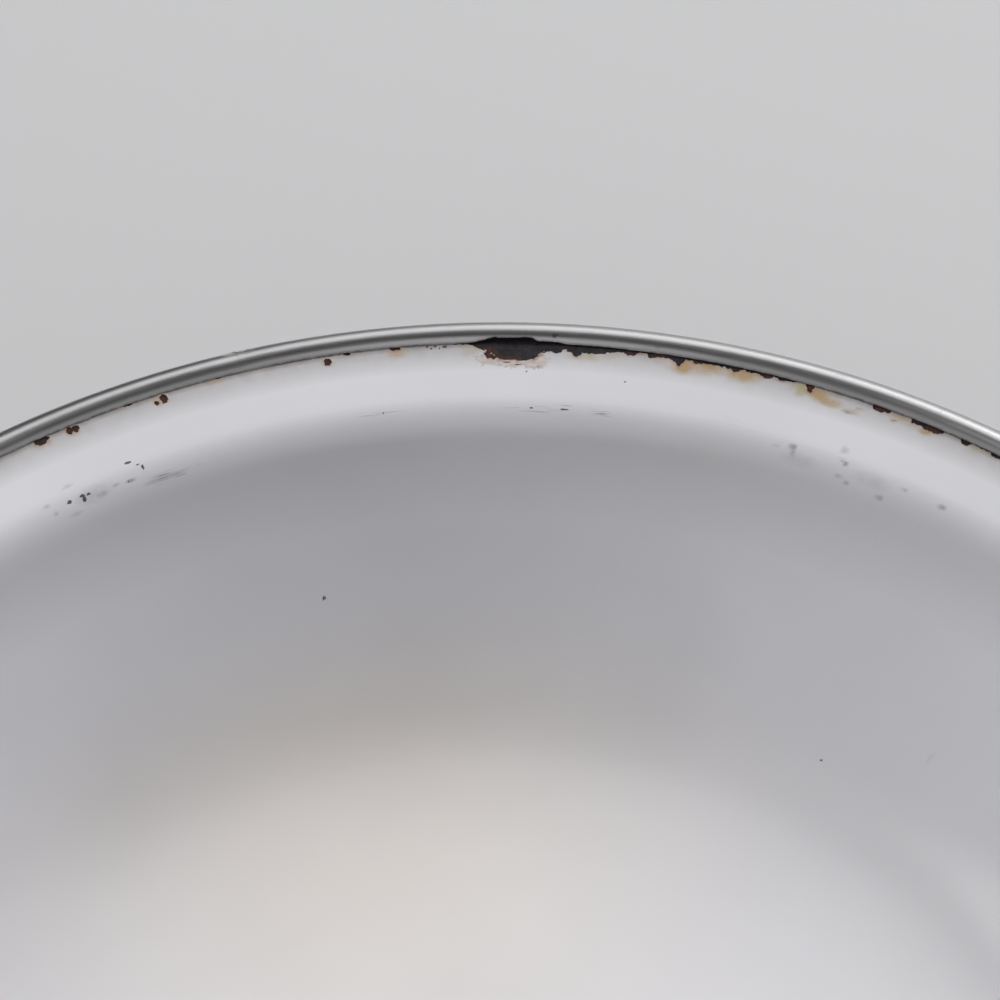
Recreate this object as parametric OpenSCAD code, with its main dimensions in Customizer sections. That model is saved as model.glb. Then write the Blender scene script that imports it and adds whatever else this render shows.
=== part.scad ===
// Enamel basin: a pressed steel bowl with fired enamel coats and a rolled metal band round its edge.
// Frame: millimetres, +Z up, origin at the middle of the base, +Y towards the rim's chipped side.

/* [Bowl] */
// Diameter over the rim band
rim_d = 360; // [240:1:480]
// Height from the table to the top of the rim band
basin_h = 70; // [62:0.5:90]
// Spread of the wall, from the edge of the flat floor to the inner end of the lip
wall_spread = 56; // [52:0.5:70]
// Bend radius between floor and wall, at the middle of the sheet
corner_r = 35; // [20:0.5:38]
// Bend radius of the bulging wall, at the middle of the sheet
wall_r = 150; // [110:1:300]
// Bend radius between wall and lip, at the middle of the sheet
shoulder_r = 10; // [6:0.5:12]

/* [Lip] */
// Width of the lip, from its inner end to the middle of the band
lip_w = 16; // [12:0.5:24]
// Slope of the lip, rising outwards, in degrees
lip_slope = 16; // [8:0.5:20]
// Clearance between the edge of the sheet and the inside of the band
edge_clear = 0.4; // [0.2:0.05:0.6]

/* [Sheet and enamel] */
// Thickness of the steel
steel_t = 0.8; // [0.5:0.05:1.2]
// Thickness of the dark ground coat on each side
ground_t = 0.2; // [0.15:0.05:0.3]
// Thickness of the white cover coat on each side
cover_t = 0.3; // [0.2:0.05:0.4]

/* [Band] */
// Diameter of the rolled band
band_d = 6.8; // [6:0.1:8]
// Thickness of the band's metal
band_t = 0.5; // [0.3:0.05:0.7]
// Direction in which the band's upper lip lies from the middle of the band, in degrees above level
grip_angle = 22; // [14:0.5:24]
// Gap between the band's two ends
seam_gap = 0.4; // [0.2:0.05:1]
// Direction of the band's butt joint, in degrees from +X
seam_angle = 109; // [0:1:359]

/* [Chips] */
// Length of the longest chip along the rim
chip_l = 22; // [10:0.5:26]
// Reach of the deepest chip from the band towards the middle
chip_w = 5.5; // [3:0.1:7]

/* [Hidden] */

$fn = 180;

// Largest turn between two points of a bend, in degrees
bend_step = 3;

// Distances of the coats' faces from the middle of the sheet
steel_face = steel_t / 2;
ground_face = steel_face + ground_t;
cover_face = ground_face + cover_t;
sheet_t = 2 * cover_face;

// Middle of the band's section, as radius and height
band_r = rim_d / 2 - band_d / 2;
band_z = basin_h - band_d / 2;
band_mid = [band_r, band_z];

// Height of the middle of the sheet at the floor
floor_z = cover_face;

// Unit vectors in the section: along a slope, and across it towards the inside
function along(slope) = [cos(slope), sin(slope)];
function across(slope) = [-sin(slope), cos(slope)];

// Where the band's upper lip lies on the white coat: its height across the lip, and its point
grip_face = band_d / 2 * sin(grip_angle + lip_slope);
grip_run = band_d / 2 * cos(grip_angle + lip_slope);
grip_point = band_mid - grip_run * along(lip_slope) + grip_face * across(lip_slope);
grip_r = grip_point[0];

// Middle of the sheet within the band, and how far the sheet reaches past the band's middle
grip_rise = grip_face - cover_face;
lip_axis = band_mid + grip_rise * across(lip_slope);
edge_reach = sqrt(pow(band_d / 2 - band_t - edge_clear, 2) - pow(grip_face, 2));

// Middles of the corner bend and of the shoulder bend
lip_inner = lip_axis - lip_w / cos(lip_slope) * along(lip_slope);
shoulder_mid = lip_inner - shoulder_r * across(lip_slope);
corner_mid = [lip_inner[0] - wall_spread, floor_z + corner_r];

// Middle of the wall's bend, which touches the corner bend from outside and the shoulder bend from within
corner_to_shoulder = shoulder_mid - corner_mid;
bends_apart = norm(corner_to_shoulder);
corner_to_wall = wall_r - corner_r;
shoulder_to_wall = wall_r + shoulder_r;
wall_turn = acos((pow(corner_to_wall, 2) + pow(bends_apart, 2) - pow(shoulder_to_wall, 2))
    / (2 * corner_to_wall * bends_apart));
wall_mid = corner_mid + corner_to_wall * along(direction(corner_to_shoulder) + wall_turn);

// Slopes of the wall where it leaves the corner bend and where it meets the shoulder bend
quarter_turn = 90;
wall_foot_slope = direction(corner_mid - wall_mid) + quarter_turn;
wall_top_slope = direction(shoulder_mid - wall_mid) + quarter_turn;

// Direction of a vector in the section, in degrees
function direction(vector) = atan2(vector[1], vector[0]);

// Points of a bend after its first, as its slope goes from one value to another. Its middle lies inside
// the bowl when the side is 1, and outside when the side is -1.
function bend(middle, radius, side, slope_from, slope_to) =
    let (steps = ceil(abs(slope_to - slope_from) / bend_step))
    [for (i = [1 : steps]) middle - side * radius * across(slope_from + (slope_to - slope_from) * i / steps)];

// Section line of the sheet from the axis to the edge, at a distance from its middle towards the inside
function sheet_line(distance) = concat(
    [[0, floor_z + distance], [corner_mid[0], floor_z + distance]],
    bend(corner_mid, corner_r - distance, 1, 0, wall_foot_slope),
    bend(wall_mid, wall_r - distance, 1, wall_foot_slope, wall_top_slope),
    bend(shoulder_mid, shoulder_r + distance, -1, wall_top_slope, lip_slope),
    [lip_axis + edge_reach * along(lip_slope) + distance * across(lip_slope)]
);

function reversed(points) = [for (i = [len(points) - 1 : -1 : 0]) points[i]];

// One layer of the sheet between two distances from its middle
module layer(low, high) {
    rotate_extrude()
        polygon(concat(sheet_line(low), reversed(sheet_line(high))));
}

// Outline of a chip, as shares of its length along the rim and of its reach. The last two points lie
// under the band.
chip_outline_shares = [
    [-0.5, 0.05], [-0.34, 0.3], [-0.26, 0.62], [-0.06, 0.9], [0.1, 1], [0.24, 0.74], [0.33, 0.7],
    [0.42, 0.34], [0.5, 0.1], [0.5, -0.2], [-0.5, -0.2],
];

// Each chip's place as a share of a turn, and its length and reach as shares of the largest
chip_shares = [
    [0.2483, 0.68, 1], [0.2317, 1, 0.42], [0.2136, 0.17, 0.44], [0.2079, 0.34, 0.33],
    [0.1952, 0.12, 0.22], [0.1866, 0.1, 0.31], [0.1712, 0.18, 0.3], [0.1619, 0.35, 0.46],
    [0.1486, 0.2, 0.24], [0.263, 0.24, 0.2], [0.2714, 0.1, 0.22], [0.32, 0.14, 0.42],
    [0.3384, 0.12, 0.36], [0.3449, 0.16, 0.28], [0.44, 0.2, 0.4], [0.57, 0.36, 0.5],
    [0.69, 0.14, 0.34], [0.78, 0.3, 0.45], [0.93, 0.2, 0.4], [0.05, 0.16, 0.3],
];

// Part of a chip's outline at which the steel is bare
bare_share = 0.6;

// Upright prisms with the chips' outlines, drawn in by a share
module chips(outline_share) {
    for (chip = chip_shares)
        rotate(chip[0] * 360)
            translate([grip_r, 0, band_z - band_d])
                linear_extrude(2 * band_d)
                    polygon([for (point = chip_outline_shares)
                        [-point[1] * chip[2] * chip_w, point[0] * chip[1] * chip_l] * outline_share]);
}

module steel_bowl() {
    color("slategray")
        layer(-steel_face, steel_face);
}

module inside_ground_coat() {
    color("#1d2024")
        difference() {
            layer(steel_face, ground_face);
            chips(bare_share);
        }
}

module inside_white_coat() {
    color("#eceff0")
        difference() {
            layer(ground_face, cover_face);
            chips(1);
        }
}

module outside_ground_coat() {
    color("#1d2024")
        layer(-ground_face, -steel_face);
}

module outside_white_coat() {
    color("#eceff0")
        layer(-cover_face, -ground_face);
}

// Section of the band: a tube open towards the lip, whose two lips grip the coated sheet
module band_section() {
    translate(band_mid)
        rotate(lip_slope)
            difference() {
                circle(d = band_d);
                circle(d = band_d - 2 * band_t);
                translate([-band_d, grip_face - sheet_t])
                    square([band_d, sheet_t]);
            }
}

module rim_band() {
    color("silver")
        difference() {
            rotate_extrude()
                band_section();
            rotate(seam_angle)
                translate([band_r - band_d, -seam_gap / 2, band_z - band_d])
                    cube([2 * band_d, seam_gap, 2 * band_d]);
        }
}

steel_bowl();
inside_ground_coat();
inside_white_coat();
outside_ground_coat();
outside_white_coat();
rim_band();
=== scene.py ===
# Enamel basin: fired coats with chips, stains and scuffs, a rolled metal band, and a plain studio stage.
import math
from bisect import bisect
from collections import namedtuple

import bmesh
import bpy
from bpy.props import FloatProperty, FloatVectorProperty, PointerProperty
from mathutils import Matrix, Vector, noise


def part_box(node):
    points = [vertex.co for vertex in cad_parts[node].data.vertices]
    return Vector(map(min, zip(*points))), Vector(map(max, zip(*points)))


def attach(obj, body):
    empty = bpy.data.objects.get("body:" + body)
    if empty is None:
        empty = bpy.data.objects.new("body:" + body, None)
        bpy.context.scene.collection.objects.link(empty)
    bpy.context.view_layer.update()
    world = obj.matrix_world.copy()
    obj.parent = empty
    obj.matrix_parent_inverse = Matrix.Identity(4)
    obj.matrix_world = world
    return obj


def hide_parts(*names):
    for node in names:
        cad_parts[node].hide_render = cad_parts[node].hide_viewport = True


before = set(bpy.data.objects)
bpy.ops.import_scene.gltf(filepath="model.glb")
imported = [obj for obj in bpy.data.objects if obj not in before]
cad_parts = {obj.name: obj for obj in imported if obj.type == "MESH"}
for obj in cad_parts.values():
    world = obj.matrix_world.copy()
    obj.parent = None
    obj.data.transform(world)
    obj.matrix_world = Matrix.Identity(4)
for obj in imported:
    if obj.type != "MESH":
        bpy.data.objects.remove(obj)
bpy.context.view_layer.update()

bl_info = {
    "name": "Enamel Basin",
    "version": (1, 0, 0),
    "blender": (4, 5, 0),
    "location": "View3D > Sidebar > Basin",
    "description": "Builds a chipped enamel basin with a rolled metal rim band, and a stage to show it on",
    "category": "Add Mesh",
}

# Units
MM = 0.001
FULL_TURN = 360

# Fineness of the meshes: steps round and along the section, rings of the floor, the distance within which
# points are one, and how near the wear and down to which length faces are divided
SPIN_STEPS = 300
FINE_BEND = math.radians(4)
COARSE_BEND = math.radians(8)
FINE_LIP = 1.8 * MM
COARSE_LIP = 3.6 * MM
FLOOR_RINGS = 4
MERGE_REACH = 0.0001 * MM
REFINE_SHARE = 0.6
FINEST = 0.3 * MM

RIM_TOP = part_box("rim_band")[1]

# The white coat's broken edge along the band, where it is lost over long stretches: directions in degrees,
# and how far down from the band it is gone, in millimetres
LOST_EDGES = (
    (
        (68.1, 0.0), (68.5, 0.6), (68.8, 0.3), (69.2, 0.8), (69.9, 0.3), (70.2, 1.1), (70.6, 1.1),
        (70.9, 0.4), (72.3, 0.4), (72.6, 1.1), (72.8, 1.8), (73.0, 0.7), (74.8, 0.5), (75.7, 1.2),
        (76.0, 0.5), (76.4, 0.5), (76.8, 2.5), (77.2, 1.4), (77.8, 0.9), (78.7, 1.0), (79.1, 1.4),
        (79.3, 0.4), (80.0, 0.5), (80.2, 1.5), (80.7, 1.4), (81.0, 0.6), (82.3, 1.5), (84.0, 2.0),
        (84.4, 3.2), (84.9, 1.7), (85.4, 1.4), (85.9, 2.5), (86.2, 2.0), (87.0, 2.2), (87.7, 4.2),
        (88.4, 4.3), (90.2, 3.9), (91.0, 4.0), (91.3, 2.4), (91.5, 1.5), (92.3, 0.4), (93.5, 0.0),
    ),
    (
        (52.2, 0.0), (52.6, 0.6), (53.2, 0.7), (53.5, -0.2), (54.0, 0.1), (54.8, -0.2), (55.0, 0.9),
        (55.5, 0.9), (55.8, -0.2), (56.9, -0.2), (57.1, 1.0), (57.6, 1.5), (58.4, 1.1), (59.4, 1.1),
        (59.5, -0.2), (61.0, -0.1), (61.2, 0.8), (61.9, 1.3), (62.3, 0.9), (62.5, 0.0),
    ),
)

# How far the band's upper lip is drawn back at the large chip, given in the same way
DRAWN_LIP = (
    (80.8, 0.0), (82.0, 0.1), (85.1, 0.05), (85.9, 0.5), (87.3, 0.5), (87.7, 1.2), (88.2, 1.35),
    (89.6, 1.1), (90.5, 1.3), (91.5, 0.5), (92.4, 0.0),
)

# Other wear: each row has a direction in degrees, a distance down the enamel from the band, a half length
# along the rim and a half width in millimetres, and a strength. A chip's strength is how rusty it is.
CHIPS = (
    # Right of the large chip
    (67.2, 0.3, 1.0, 0.8, 0.9),
    (67.1, 1.0, 0.6, 0.8, 0.9),
    # Left of it
    (97.7, 0.1, 1.3, 0.6, 0.7),
    (101.3, 0.15, 0.8, 0.55, 0.4),
    (102.75, 1.55, 0.85, 0.85, 0.6),
    (110.7, 0.0, 0.8, 0.35, 0.5),
    (115.0, 1.3, 0.9, 1.0, 0.7),
    (115.6, 1.7, 0.4, 0.55, 0.9),
    (117.7, 0.0, 0.9, 0.3, 0.6),
    (122.2, 1.0, 0.75, 0.85, 0.8),
    (121.75, 1.05, 0.75, 0.8, 0.8),
    (124.3, 0.6, 1.7, 1.05, 0.45),
    # The rest of the rim
    (158.4, 0.2, 2.2, 1.9, 0.5),
    (205.2, 0.3, 4.0, 2.4, 0.4),
    (203.4, 0.2, 2.6, 1.2, 0.7),
    (248.4, 0.2, 1.6, 1.6, 0.8),
    (280.8, 0.3, 3.3, 2.1, 0.5),
    (284.0, 0.1, 2.0, 0.9, 0.7),
    (334.8, 0.2, 2.2, 2.0, 0.4),
    (18.0, 0.2, 1.8, 1.5, 0.6),
)

# Bits of white enamel left standing in a chip
LEFT_BITS = (
    (91.15, 2.1, 0.16, 0.3, 1.0),
    (90.75, 2.7, 0.2, 0.14, 1.0),
    (91.3, 3.2, 0.16, 0.2, 1.0),
    (90.55, 3.1, 0.22, 0.12, 1.0),
)

# Rust on what shows in the chips
RUST = (
    (90.9, 2.7, 3.4, 2.6, 1.0),
    (89.3, 3.8, 4.4, 1.0, 0.9),
    (80.5, 0.9, 1.8, 1.2, 0.8),
    (78.2, 0.8, 3.4, 1.3, 1.0),
    (75.7, 0.8, 2.2, 1.1, 0.9),
    (73.0, 0.8, 2.6, 1.0, 0.6),
    (70.4, 0.7, 2.2, 1.1, 0.8),
    (61.8, 0.6, 2.2, 1.2, 0.9),
    (57.7, 1.0, 3.0, 1.4, 1.0),
    (55.3, 0.6, 1.6, 0.9, 0.5),
)

# Places where only the top of the white coat has flaked off
FLAKES = (
    (87.5, 4.6, 3.0, 2.0, 1.0),
    (89.3, 4.8, 2.9, 1.5, 1.0),
    (90.9, 4.2, 2.4, 1.3, 0.9),
    (205.0, 2.6, 3.0, 1.4, 0.9),
    (281.0, 2.2, 2.4, 1.2, 0.8),
)

# Stains by the rim
TAN_STAINS = (
    (78.4, 1.7, 3.2, 1.3, 0.4),
    (76.4, 2.2, 4.4, 2.6, 1.0),
    (75.2, 1.5, 6.5, 2.4, 1.0),
    (72.0, 1.3, 5.2, 2.4, 1.0),
    (72.7, 2.2, 2.0, 1.4, 0.9),
    (66.3, 1.8, 3.6, 2.0, 1.0),
    (65.5, 2.8, 3.8, 1.5, 0.9),
    (63.7, 3.5, 2.6, 1.0, 0.4),
    (60.0, 1.2, 4.5, 1.4, 0.5),
    (58.3, 1.9, 2.0, 1.1, 1.0),
    (60.6, 2.05, 0.7, 0.5, 1.0),
    (84.0, 2.9, 4.6, 1.4, 0.35),
    (81.9, 1.8, 3.6, 1.2, 0.3),
    (90.0, 4.6, 5.0, 1.8, 0.5),
    (97.6, 1.6, 3.2, 1.6, 0.6),
    (102.75, 1.7, 1.6, 1.4, 0.5),
    (115.4, 1.6, 1.7, 1.6, 0.5),
    (122.0, 1.6, 2.0, 1.5, 0.5),
    (124.3, 1.4, 2.6, 1.5, 0.4),
    (111.0, 0.6, 3.0, 1.0, 0.4),
    (158.0, 1.4, 4.0, 1.8, 0.7),
    (203.8, 1.8, 6.0, 2.2, 0.8),
    (248.8, 1.4, 3.4, 1.6, 0.8),
    (283.0, 1.6, 5.5, 2.0, 0.7),
    (335.2, 1.4, 4.0, 1.7, 0.6),
    (17.2, 1.3, 3.6, 1.6, 0.7),
)

STRAW_STAINS = (
    (67.75, 1.7, 2.4, 2.2, 1.0),
    (92.2, 1.6, 2.6, 2.0, 0.45),
    (83.2, 2.6, 2.6, 1.2, 0.4),
    (71.6, 3.2, 3.0, 1.2, 0.3),
    (54.3, 1.0, 2.2, 1.0, 0.4),
    (102.3, 1.6, 3.2, 0.8, 0.4),
    (204.8, 2.2, 3.6, 1.6, 0.6),
    (281.4, 2.0, 3.0, 1.5, 0.5),
)

# Small dark nicks in the white coat
NICKS = (
    (124.94, 16.5, 0.6, 0.55, 1.0),
    (123.9, 16.4, 0.65, 0.5, 1.0),
    (123.4, 16.6, 0.55, 0.35, 0.9),
    (123.85, 17.3, 0.5, 0.8, 1.0),
    (119.54, 13.4, 1.0, 0.4, 1.0),
    (118.67, 15.6, 0.4, 0.8, 1.0),
    (118.9, 14.6, 0.7, 0.25, 0.8),
    (120.15, 17.4, 0.4, 0.3, 0.7),
    (95.4, 0.5, 0.5, 0.4, 1.0),
    (95.1, 1.0, 0.4, 0.35, 0.9),
    (94.8, 0.5, 0.45, 0.4, 1.0),
    (94.5, 1.1, 0.4, 0.35, 0.8),
    (94.1, 0.7, 0.5, 0.45, 1.0),
    (88.1, 7.3, 0.35, 0.35, 1.0),
    (89.6, 4.9, 1.3, 0.2, 0.8),
    (88.8, 5.5, 1.2, 0.2, 0.8),
    (80.55, 8.3, 0.35, 0.35, 0.7),
    (99.3, 16.2, 0.4, 0.3, 0.7),
    (87.6, 16.4, 0.6, 0.25, 0.8),
    (85.0, 16.4, 1.2, 0.25, 0.8),
    (129.9, 37.7, 0.45, 0.45, 0.8),
    (106.3, 56.8, 0.4, 0.4, 0.7),
    (55.9, 80.9, 0.45, 0.45, 0.8),
    (196.0, 16.0, 0.9, 0.6, 0.9),
    (302.0, 17.0, 0.8, 0.6, 0.9),
    (264.5, 15.7, 1.2, 0.3, 0.8),
)

# Soft grey smudges on the white coat
SMUDGES = (
    (123.0, 17.0, 5.0, 2.2, 0.35),
    (122.4, 17.6, 2.2, 0.9, 0.7),
    (120.0, 17.4, 1.4, 0.5, 0.9),
    (121.2, 17.1, 1.2, 0.5, 0.6),
    (124.5, 13.1, 1.4, 0.5, 0.6),
    (126.7, 15.3, 0.7, 0.6, 0.7),
    (126.3, 17.5, 0.6, 0.5, 0.7),
    (124.9, 19.4, 1.6, 0.6, 0.5),
    (117.3, 19.3, 5.6, 0.7, 0.6),
    (60.6, 2.05, 0.6, 0.4, 0.9),
    (104.6, 0.7, 0.5, 0.6, 0.8),
    (63.85, 3.8, 1.5, 0.5, 1.0),
    (63.45, 2.9, 0.5, 0.6, 0.8),
    (63.2, 2.2, 0.9, 0.5, 0.9),
    (68.0, 16.6, 1.0, 0.5, 0.6),
    (66.75, 15.9, 1.2, 1.0, 1.0),
    (66.7, 17.3, 0.5, 1.6, 1.0),
    (62.9, 12.9, 1.1, 1.2, 0.7),
    (62.85, 15.0, 0.5, 0.5, 0.9),
    (62.6, 15.5, 0.6, 0.45, 1.0),
    (62.4, 15.9, 0.4, 0.7, 1.0),
    (62.6, 18.9, 0.9, 0.6, 0.6),
    (61.8, 19.7, 0.6, 0.6, 0.9),
    (58.9, 20.1, 0.9, 0.8, 0.8),
    (57.4, 16.5, 0.7, 0.6, 0.6),
    (54.2, 16.6, 1.2, 0.8, 0.8),
    (60.0, 17.3, 5.0, 2.0, 0.25),
    (66.0, 18.0, 5.0, 2.0, 0.25),
    (76.6, 25.1, 0.5, 0.6, 0.8),
    (67.6, 56.4, 0.5, 0.5, 0.6),
    (46.5, 67.9, 0.5, 0.5, 0.8),
    (196.4, 16.4, 1.6, 1.6, 0.8),
    (231.0, 18.0, 3.0, 0.8, 0.7),
    (302.3, 17.2, 2.4, 1.4, 0.6),
    (27.0, 18.5, 2.0, 0.8, 0.7),
)

# Dark marks on the band, given in the same way, with their distance up the band from level with its middle
BAND_MARKS = (
    (86.1, 2.75, 0.55, 0.8, 0.9),
    (85.9, 3.3, 0.35, 0.4, 0.7),
    (78.6, 2.5, 1.3, 0.3, 0.6),
    (89.4, 3.9, 0.5, 0.3, 0.5),
)

# Stretches with fine scratches along the rim
SCRATCHED = (
    (117.3, 19.3, 6.5, 1.6, 0.9),
    (113.5, 19.0, 4.0, 1.2, 0.6),
    (102.7, 18.9, 2.4, 1.0, 0.7),
    (99.4, 16.3, 5.5, 1.2, 0.9),
    (84.4, 16.4, 16.0, 1.3, 1.0),
    (77.7, 12.9, 6.0, 1.2, 0.6),
    (72.4, 14.6, 4.8, 1.4, 0.7),
    (68.5, 15.0, 5.0, 1.4, 0.9),
    (48.3, 45.2, 6.0, 1.5, 0.6),
    (170.0, 17.0, 8.0, 1.5, 0.8),
    (264.0, 15.5, 11.0, 1.5, 0.9),
    (350.0, 16.0, 8.0, 1.5, 0.8),
)

# Marks that the white enamel shows, by the name of the value that carries each
SHOWN_MARKS = {"tan": TAN_STAINS, "straw": STRAW_STAINS, "nick": NICKS, "smudge": SMUDGES, "worn": SCRATCHED}

# How far wear is looked up past its rows, the depth far from any of it, and how far under the band the
# enamel is lost
MARK_MARGIN = 3 * MM
FAR_OUTSIDE = -1.0
LOST_UNDER_BAND = 2.5 * MM

# How far broken outlines wander, how large their bits are, and the fractal's fading, step and count
JAG_REACH = 0.38 * MM
JAG_SIZE = 0.8 * MM
JAG_FRACTAL = (0.8, 2.1, 3)
FLAKE_JAG_SCALE = 1.3
BARE_JAG_SCALE = 0.7

# Reach of a broken edge and how far it is worn, reach of a flake's edge, how much of the coat a flake takes,
# and how far inside a chip the steel is bare
EDGE_REACH = 0.9 * MM
EDGE_WEAR = 0.4
FLAKE_EDGE = 0.4 * MM
FLAKE_SHARE = 0.7
BARE_INSET = 2.4 * MM

# Lumps of broken enamel and of solder: their size, and their height on the dark coat
LUMP_SIZE = 0.8 * MM
GROUND_LUMP = 0.05 * MM

# Half width of the scuffed ring that the basin stands on, and how worn the outside is there and elsewhere
STANDING_HALF = 12 * MM
STANDING_WEAR = 0.5
OUTSIDE_WEAR = 0.15

# Where the painted shade and warm painted reflection on the floor of the bowl start, down the enamel, and
# where they are full
FLOOR_SHADE_START = 54 * MM
FLOOR_SHADE_FULL = 88 * MM

# Middle of that patch, and the distances from it within which it is strongest and past which it is faint
FLOOR_SHADE_MIDDLE = (-30 * MM, 92 * MM, 5 * MM)
FLOOR_SHADE_NEAR = 20 * MM
FLOOR_SHADE_FAR = 95 * MM

# The band's drawn lip: the directions that are divided for it, the turn of the section over which it fades,
# the wander of its edge with the fractal's fading, step and count, and the turn at the lip darkened by grime
# and painted shadow
DRAWN_SPAN = (76, 94)
BAND_CUTS = 7
LIP_FADE = math.radians(60)
LIP_WANDER = 0.15 * MM
LIP_WANDER_TURN = 1 / 250
LIP_FRACTAL = (0.8, 2.0, 3)
GRIME_AND_SHADOW_TURN = math.radians(6)

# The band's joint: the degrees divided for it on each side, its sag, its solder, which lies on top, and the
# angle past which the band's edges stay sharp
SEAM_SPAN = 3
SEAM_FADE = math.radians(2.5)
SEAM_SAG = 0.1 * MM
SOLDER_REACH = math.radians(1.6)
SOLDER_FULLNESS = 1.4
SOLDER_LUMP = 0.35 * MM
SOLDER_LEVEL = math.radians(132)
SOLDER_SPREAD = math.radians(40)
SHARP_ANGLE = math.radians(40)

# Dirt and painted shade on the white enamel, down from the band: where it fades out, the two ends of the
# painted shade under the shoulder, the dark line of grime and painted shadow along the band
DIRT_AND_SHADE_WIDE = 7 * MM
DIRT_AND_SHADE_CLOSE = 1.5 * MM
PAINTED_SHADE_RISE = (13 * MM, 22 * MM)
PAINTED_SHADE_FALL = (26 * MM, 42 * MM)
GRIME_AND_SHADOW_LINE = (0.12 * MM, 0.42 * MM)
GRIME_AND_SHADOW_WANDER = 0.12 * MM
GRIME_AND_SHADOW_PATCH = 6 * MM
GRIME_AND_SHADOW_STRETCH = 4.0

# Sizes of the patches in the materials, and how far those that run along the rim are drawn out
CLOUD_PATCH = 3.2 * MM
NICK_BIT = 0.8 * MM
BROKEN_LUMP = 1.7 * MM
TONE_PATCH = 45 * MM
HAZE_PATCH = 9 * MM
RIPPLE_SIZE = 2.4 * MM
RUST_PATCH = 1.4 * MM
RUST_BIT = 0.55 * MM
SCRATCH_WIDTH = 0.25 * MM
SCRATCH_STRETCH = 30.0
SCRATCH_BREAK = 5 * MM
BREAK_STRETCH = 2.0
GROUND_PATCH = 2.6 * MM
PIT_SIZE = 0.9 * MM
DRAWN_WIDTH = 0.4 * MM
DRAWN_STRETCH = 40.0
SPECK_SIZE = 1.6 * MM
BAND_GRIME_AND_SHADOW_PATCH = 2 * MM
MARK_BIT = 0.5 * MM
SOLDER_BIT = 0.9 * MM
FLOOR_PATCH = 600 * MM

# Roughness and shine of the materials
WHITE_ROUGHNESS = 0.3
GROUND_ROUGHNESS = 0.4
GROUND_SHINE = 0.15
STEEL_SHINE = 0.2
STAGE_ROUGHNESS = 0.8

# Depths of the materials' fine relief
RIPPLE_DEPTH = 0.004 * MM
BROKEN_DEPTH = 0.35 * MM
GROUND_DEPTH = 0.05 * MM
PIT_DEPTH = 0.06 * MM
DRAWN_DEPTH = 0.002 * MM

# Half width of the floor of the stage, its cells, and the camera's nearest sight and sensor in millimetres
STAGE_HALF = 4000 * MM
STAGE_CELLS = 8
CLIP_START = 10 * MM
SENSOR_WIDTH = 36

Mark = namedtuple("Mark", "angle down half_length half_width strength")
Place = namedtuple("Place", "angle down radius")
Station = namedtuple("Station", "middle slope down")
SoftLight = namedtuple("SoftLight", "name direction height size power")

# Soft lights: a direction and a height in degrees, a size in metres and a power in watts
LIGHT_DISTANCE = 2200 * MM
LIGHTS = (
    SoftLight("back", 73, 26, 1.9, 5.9),
    SoftLight("high_back", 80, 53, 1.6, 8.6),
    SoftLight("right", 40, 40, 1.7, 23.8),
    SoftLight("left", 160, 44, 1.4, 19.2),
    SoftLight("front", -90, 36, 1.8, 6.0),
    SoftLight("front_left", -140, 20, 1.8, 3.2),
    SoftLight("front_right", -40, 20, 1.8, 3.4),
)


def length_setting(name, description, default):
    return FloatProperty(name=name, description=description, default=default, unit="LENGTH")


def angle_setting(name, description, degrees):
    return FloatProperty(name=name, description=description, default=math.radians(degrees), subtype="ANGLE")


def colour_setting(name, description, default):
    return FloatVectorProperty(
        name=name, description=description, default=default, subtype="COLOR", min=0, max=1
    )


class BasinSizes(bpy.types.PropertyGroup):
    rim_diameter: length_setting("Rim diameter", "Diameter over the rim band", 2 * RIM_TOP.x)
    height: length_setting("Height", "From the table to the top of the band", RIM_TOP.z)
    wall_spread: length_setting("Wall spread", "From the flat floor's edge to the lip's inner end", 56 * MM)
    corner_radius: length_setting("Corner radius", "Bend between floor and wall", 35 * MM)
    wall_radius: length_setting("Wall radius", "Bend of the bulging wall", 150 * MM)
    shoulder_radius: length_setting("Shoulder radius", "Bend between wall and lip", 10 * MM)
    lip_width: length_setting("Lip width", "From its inner end to the band's middle", 16 * MM)
    lip_slope: angle_setting("Lip slope", "Rise of the lip outwards", 16)
    edge_clearance: length_setting("Edge clearance", "Between the sheet's edge and the band", 0.4 * MM)
    steel: length_setting("Steel", "Thickness of the steel", 0.8 * MM)
    ground: length_setting("Ground coat", "Thickness of the dark coat", 0.2 * MM)
    cover: length_setting("White coat", "Thickness of the white coat", 0.3 * MM)
    band_diameter: length_setting("Band diameter", "Diameter of the rolled band", 6.8 * MM)
    band_metal: length_setting("Band metal", "Thickness of the band's metal", 0.5 * MM)
    grip_angle: angle_setting("Grip angle", "Direction of the band's upper lip above its middle", 22)
    seam_gap: length_setting("Seam gap", "Between the band's two ends", 0.03 * MM)
    seam_angle: angle_setting("Seam angle", "Direction of the band's joint", 109)


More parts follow.
